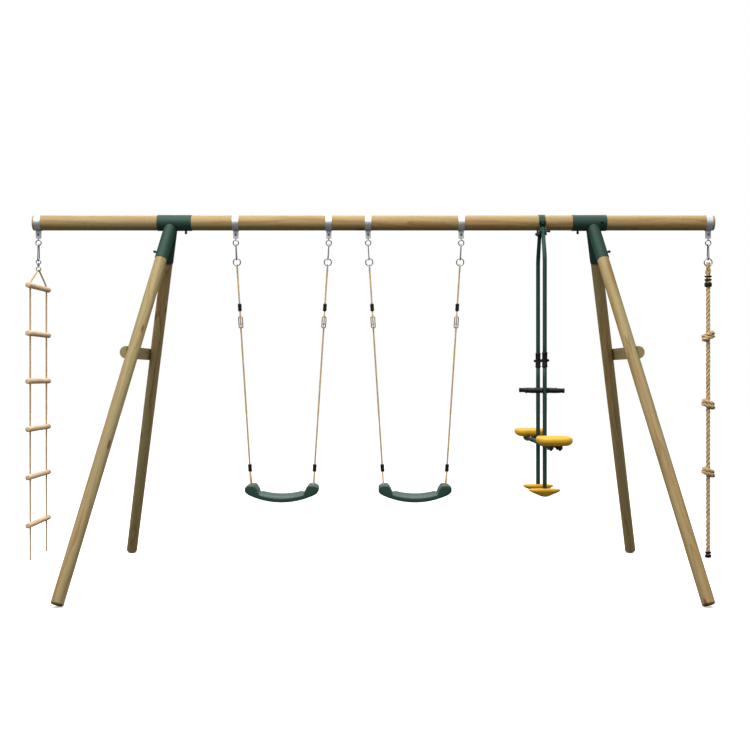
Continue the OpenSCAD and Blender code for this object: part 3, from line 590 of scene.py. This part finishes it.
# ---- swing seats ----
def swing_seat(name):
    """Curved moulded board: a section swept across, tall at the two end blocks."""
    sides, board_t, crown_h, bend_end = 64, 0.031, 0.019, 0.205
    step_start, step_end, block_top = 0.139, 0.160, 0.555
    xs = np.linspace(-SEAT_HALF, SEAT_HALF, 141)
    a = np.abs(xs)
    low = SEAT_Z + SEAT_ARC - np.sqrt(SEAT_ARC ** 2 - np.minimum(a, bend_end) ** 2)
    low = low + np.interp(a, [0.200, 0.210, SEAT_HALF], [0, 0.004, 0.016])
    block = np.interp(a, [step_end, 0.192, 0.208, SEAT_HALF], [block_top, block_top, 0.549, 0.537])
    step = np.interp(a, [step_start, step_end], [0.5225, block_top])
    top = np.where(a < step_start, low + board_t, np.where(a < step_end, step, block))
    kernel = np.array([1, 2, 3, 2, 1]) / 9
    top = np.convolve(np.pad(top, 2, mode="edge"), kernel, mode="valid")
    crown = crown_h * np.clip((0.150 - a) / 0.035, 0, 1)
    half = np.interp(a, [0, 0.195, 0.211, SEAT_HALF], [1, 1, 0.965, 0.92]) * SEAT_DEPTH / 2
    w = turn_angles(sides)
    loops = []
    for x, z0, z1, c, d in zip(xs, low, top, crown, half):
        tall = (z1 - z0) / 2
        power = 0.30 if tall < 0.03 else 0.22
        y = d * signed_power(np.cos(w), power)
        z = tall * signed_power(np.sin(w), power)
        z = z + np.where(z > 0, c * (1 - np.abs(y / d) ** 1.7), 0)
        loops.append(np.stack([np.full(sides, SWING_X[name] + x), y, z0 + tall + z], axis=1))
    seat = stack(f"swing_{name}_seat_board", loops, GREEN_PLASTIC)
    put(seat, f"swing_{name}", "green_plastic", f"swing_{name}_seat")


for word in SWING_X:
    swing_seat(word)


# ---- glider ----
def glider_tubes(side, body, node):
    """An arm's tube, bent smoothly near its top, as one sweep above its coupler and one below."""
    sides = 28
    top = np.array([GLIDER_X, side * ARM_TOP_Y, ARM_TOP_Z])
    corner = np.array([GLIDER_X, side * ARM_Y, ARM_BEND_Z])
    seam = np.array([GLIDER_X, side * ARM_Y, ARM_SEAM_Z])
    lean = math.acos(unit(top - corner)[2])
    bend_start = corner - (0, 0, TUBE_BEND_R * math.tan(lean / 2))
    centre = bend_start - np.array([0, side * TUBE_BEND_R, 0])
    arc = [centre + TUBE_BEND_R * np.array([0, side * math.cos(w), math.sin(w)])
           for w in np.linspace(0, lean, 14)]
    straight = [seam + (bend_start - seam) * k / 6 for k in range(6)]
    upper = np.array([*straight, *arc, top])
    radius = np.full(len(upper), TUBE_R)
    radius[-1] = TUBE_END_R
    put(tube(node + "_upper", upper, radius, GREEN_STEEL, sides), body, "green_steel", node)
    lower = resample([seam, (GLIDER_X, side * ARM_Y, ARM_END_Z)], 0.08)
    put(tube(node + "_lower", lower, TUBE_R, GREEN_STEEL, sides), body, "green_steel", node)


def handlebar(side, body, node):
    """Two moulded grips, waisted and flanged, on the bar that crosses the tube."""
    profile = [(0.009, 0.0135), (0.0155, 0.0140), (0.0165, 0.0155), (0.0165, 0.0185), (0.0150, 0.0205),
               (0.0140, 0.024), (0.0146, 0.040), (0.0150, 0.056), (0.0147, 0.074), (0.0138, 0.090),
               (0.0130, 0.100), (0.0130, 0.1035), (0.0143, 0.1050), (0.0146, 0.1110), (0.0138, 0.1145),
               (0.0110, 0.1160), (0.0050, 0.1165)]
    middle = (GLIDER_X, side * ARM_Y, HANDLE_Z)
    for way, hand in ((-1, "a"), (1, "b")):
        grip = turned(f"{node}_grip_{hand}", profile, BLACK, middle, (way, 0, 0), 40)
        put(grip, body, "black_rubber", node)


def coupler(side, body, node):
    """Plastic coupler with a rolled rim at each end and a boss for its cross bolt."""
    rim = [(0.0127, 0), (0.0152, 0), (0.0164, 0.0015), (0.0166, 0.004), (0.0166, 0.010), (0.0155, 0.013)]
    profile = rim + [(r, COUPLER_L - z) for r, z in reversed(rim)]
    piece = turned(node + "_body", profile, BLACK, (GLIDER_X, side * ARM_Y, COUPLER_Z), sides=40)
    put(piece, body, "black_rubber", node)
    dome = [(0.0060, 0.0140), (0.0085, 0.0145), (0.0085, 0.0175), (0.0075, 0.0215), (0.0068, 0.0240),
            (0.0050, 0.0262), (0.0020, 0.0272)]
    bolt = (GLIDER_X, side * ARM_Y, COUPLER_Z + 0.041)
    for way, hand in ((-1, "a"), (1, "b")):
        put(turned(f"{node}_cap_{hand}", dome, BLACK, bolt, (way, 0, 0), 24), body, "black_rubber")


def footrest(side, body, node):
    """Boat-shaped rest: lens-like outlines that shrink down to the keel."""
    sides, half_wide, half_deep = 72, 0.0915, 0.0460
    w = turn_angles(sides)
    levels = [(0.000, 0.30), (-0.0006, 0.80), (0.0000, 0.93), (-0.0015, 0.975), (-0.0050, 1.0),
              (-0.0100, 0.99), (-0.0150, 0.94), (-0.0210, 0.80), (-0.0270, 0.65), (-0.0330, 0.50),
              (-0.0385, 0.36), (-0.0430, 0.24), (-0.0452, 0.15), (-0.0460, 0.06)]
    loops = []
    for dz, grow in levels:
        x = half_wide * grow * signed_power(np.cos(w), 0.85)
        y = half_deep * min(1, grow ** 0.6) * signed_power(np.sin(w), 0.80)
        loops.append(np.stack([GLIDER_X + x, side * ARM_Y + y, np.full(sides, FOOTREST_Z + dz)], axis=1))
    piece = stack(node + "_moulding", loops[::-1], YELLOW)
    put(piece, body, "yellow_plastic", node)
    socket = [(0.0126, -0.004), (0.0175, -0.004), (0.0172, 0.004), (0.0155, 0.0055), (0.0126, 0.0058)]
    collar = turned(node + "_socket", socket, YELLOW, (GLIDER_X, side * ARM_Y, FOOTREST_Z - 0.003), sides=36)
    put(collar, body, "yellow_plastic")


for side, word in ((-1, "front"), (1, "rear")):
    arm = f"glider_{word}_arm"
    glider_tubes(side, arm, word + "_arm_tubes")
    handlebar(side, arm, word + "_handlebar")
    coupler(side, arm, word + "_coupler")
    footrest(side, arm, word + "_footrest")


def glider_seat(y, node):
    """Rounded moulded seat, fullest across its middle, with a shallow dish in its top."""
    sides, squareness = 96, 0.52
    levels = [(0.045, 0.0060), (0.040, 0.0008), (0.028, 0.0004), (0.0180, 0.0030), (0.0090, 0.0085),
              (0.0030, 0.0155), (0.0, 0.023), (0.0, 0.033), (0.0012, 0.0380), (0.0046, 0.0435),
              (0.0100, 0.0470), (0.0160, 0.0480), (0.0270, 0.0468), (0.0400, 0.0450), (0.0560, 0.0440),
              (0.0750, 0.0437)]
    w = turn_angles(sides)
    half_wide, half_long = GLIDER_SEAT_HALF
    loops = []
    for inset, z in levels:
        x = (half_wide - inset) * signed_power(np.cos(w), squareness)
        along = (half_long - inset) * signed_power(np.sin(w), squareness)
        loops.append(np.stack([GLIDER_X + x, y + along, np.full(sides, GLIDER_SEAT_Z + z)], axis=1))
    seat = stack(node + "_moulding", loops, YELLOW)
    put(seat, "glider_seats", "yellow_plastic", node)


glider_seat(-GLIDER_SEAT_Y, "glider_seat_front")
glider_seat(GLIDER_SEAT_Y, "glider_seat_rear")


# ---- rope ladder rungs ----
def rung(index, z):
    """Turned rung with eased ends."""
    end = [(0.0120, RUNG_HALF), (0.0142, RUNG_HALF - 0.0010), (RUNG_R, RUNG_HALF - 0.0040),
           (RUNG_R, RUNG_HALF / 2)]
    profile = [(r, -y) for r, y in end] + [(RUNG_R, 0)] + end[::-1]
    piece = turned(f"ladder_rung_{index}", profile, BEECH, (LADDER_X, 0, z), (0, 1, 0), 40)
    put(piece, "ladder", "beech", "ladder_rungs")


for i in range(RUNGS):
    rung(i, RUNG_TOP_Z - RUNG_STEP * i)


# ---- materials of the CAD nodes ----
def dress(material, *names):
    """One material in every slot of the nodes, and a slot for it where a node has none."""
    for name in names:
        slots = NODES[name].data.materials
        if len(slots) == 0:
            slots.append(material)
        for i in range(len(slots)):
            slots[i] = material


def leg_dir(side_x, side_y):
    return unit(np.array([side_x * LEG_OUT, side_y * LEG_FORE, -1]))


LEGS = (("front_left", LEFT_APEX, -1, -1), ("rear_left", LEFT_APEX, -1, 1),
        ("front_right", RIGHT_APEX, 1, -1), ("rear_right", RIGHT_APEX, 1, 1))
for i, (name, apex, side_x, side_y) in enumerate(LEGS):
    wood = log_wood("pine_leg_" + name, (apex, 0, BEAM_Z), leg_dir(side_x, side_y), 1 + i, 0.2, 0.9)
    dress(wood, "leg_" + name)
LOG_LOOKS = {"left": (11, 0.5, 0.030), "middle": (14, 1.25, 0.070), "right": (17, 0.5, 0.030)}
for name, (seed, knots, wander) in LOG_LOOKS.items():
    wood = log_wood("pine_beam_" + name, (LOG_X[name], 0, BEAM_Z), (1, 0, 0), seed, 0.8, knots, wander)
    dress(wood, f"beam_{name}_log")
for i, (name, x) in enumerate(CROSSBAR_X.items()):
    wood = log_wood("pine_crossbar_" + name, (x, 0, CROSSBAR_Z), (0, 1, 0), 31 + i, 0.0)
    dress(wood, "crossbar_" + name)
dress(GREEN_STEEL, "bracket_left", "bracket_right", "glider_clamp_upper", "glider_clamp_lower",
      "glider_seat_bars")
dress(BLACK, "frame_bolt_caps", "glider_seat_bolts", "front_arm_bolts", "rear_arm_bolts")
dress(BAND_ZINC, "hanger_bands")
dress(BOLT_ZINC, "frame_bolts", "hanger_bolts", "glider_clamp_bolts", "glider_pivot_bolts")
dress(ZINC, "beam_spigots", "swing_eyes", "ladder_eye", "ladder_hook", "ladder_swivel_upper",
      "ladder_swivel_lower", "rope_eye", "rope_hook", "rope_ring")
for word in SWING_X:
    dress(ZINC, *(f"swing_{word}_{part}" for part in ("hooks", "rings", "adjusters")))


# ---- floor, light and background ----
def add_floor():
    """White where the camera sees it, and dark to other rays, so that it lights little from below."""
    half, white, dark, glow_strength = 30.0, (0.92, 0.92, 0.93, 1), (0.11, 0.11, 0.11, 1), 0.32
    s = Shader("studio_floor")
    lit = s.add("BsdfDiffuse", {"Color": white}).outputs[0]
    dim = s.add("BsdfDiffuse", {"Color": dark}).outputs[0]
    glow = s.add("Emission", {"Color": (1, 1, 1, 1), "Strength": glow_strength}).outputs[0]
    seen = s.add("AddShader", {0: lit, 1: glow}).outputs[0]
    direct = s.add("LightPath").outputs["Is Camera Ray"]
    both = s.add("MixShader", {0: direct, 1: dim, 2: seen}).outputs[0]
    s.tree.links.new(both, s.tree.nodes["Material Output"].inputs["Surface"])
    floor = add_mesh("floor", [(-half, -half, 0), (half, -half, 0), (half, half, 0), (-half, half, 0)],
                     [(0, 1, 2, 3)], s.material)


SKY_STRENGTH = 1.15


def add_world():
    """Bright above and dim below for light, plain white where the camera sees past the floor."""
    world = bpy.data.worlds.new("studio")
    world.use_nodes = True
    nodes, links = world.node_tree.nodes, world.node_tree.links
    background = nodes["Background"]
    geometry = nodes.new("ShaderNodeTexCoord")
    split = nodes.new("ShaderNodeSeparateXYZ")
    ramp = nodes.new("ShaderNodeValToRGB")
    rise = nodes.new("ShaderNodeMapRange")
    path = nodes.new("ShaderNodeLightPath")
    white = nodes.new("ShaderNodeBackground")
    mix = nodes.new("ShaderNodeMixShader")
    links.new(geometry.outputs["Generated"], split.inputs[0])
    links.new(split.outputs["Z"], rise.inputs["Value"])
    rise.inputs["From Min"].default_value = -1
    links.new(rise.outputs[0], ramp.inputs[0])
    brightness = ((0.0, 0.03), (0.49, 0.17), (0.62, 0.50), (1.0, 1.0))
    elements = ramp.color_ramp.elements
    while len(elements) < len(brightness):
        elements.new(0.5)
    for e, (at, value) in zip(elements, brightness):
        e.position = at
        e.color = (value, value, value, 1)
    links.new(ramp.outputs[0], background.inputs["Color"])
    background.inputs["Strength"].default_value = SKY_STRENGTH
    white.inputs["Color"].default_value = (1, 1, 1, 1)
    links.new(path.outputs["Is Camera Ray"], mix.inputs[0])
    links.new(background.outputs[0], mix.inputs[1])
    links.new(white.outputs[0], mix.inputs[2])
    links.new(mix.outputs[0], nodes["World Output"].inputs["Surface"])
    bpy.context.scene.world = world


def add_area(name, place, aim, size, power):
    """A rectangular lamp at a place, turned towards its aim; power is in watts."""
    data = bpy.data.lights.new(name, "AREA")
    data.shape = "RECTANGLE"
    data.size, data.size_y = size
    data.energy = power
    lamp = bpy.data.objects.new(name, data)
    lamp.location = place
    direction = Vector(aim) - Vector(place)
    lamp.rotation_euler = direction.to_track_quat("-Z", "Y").to_euler()
    bpy.context.scene.collection.objects.link(lamp)


add_floor()
add_world()
add_area("key_above", (-1.2, -2.6, 6.0), (0, 0, 1.0), (6.0, 3.0), 380)
add_area("top_back", (0.5, 2.5, 6.0), (0, 0, 1.2), (6.0, 2.0), 160)
bpy.context.scene.view_settings.view_transform = "Standard"
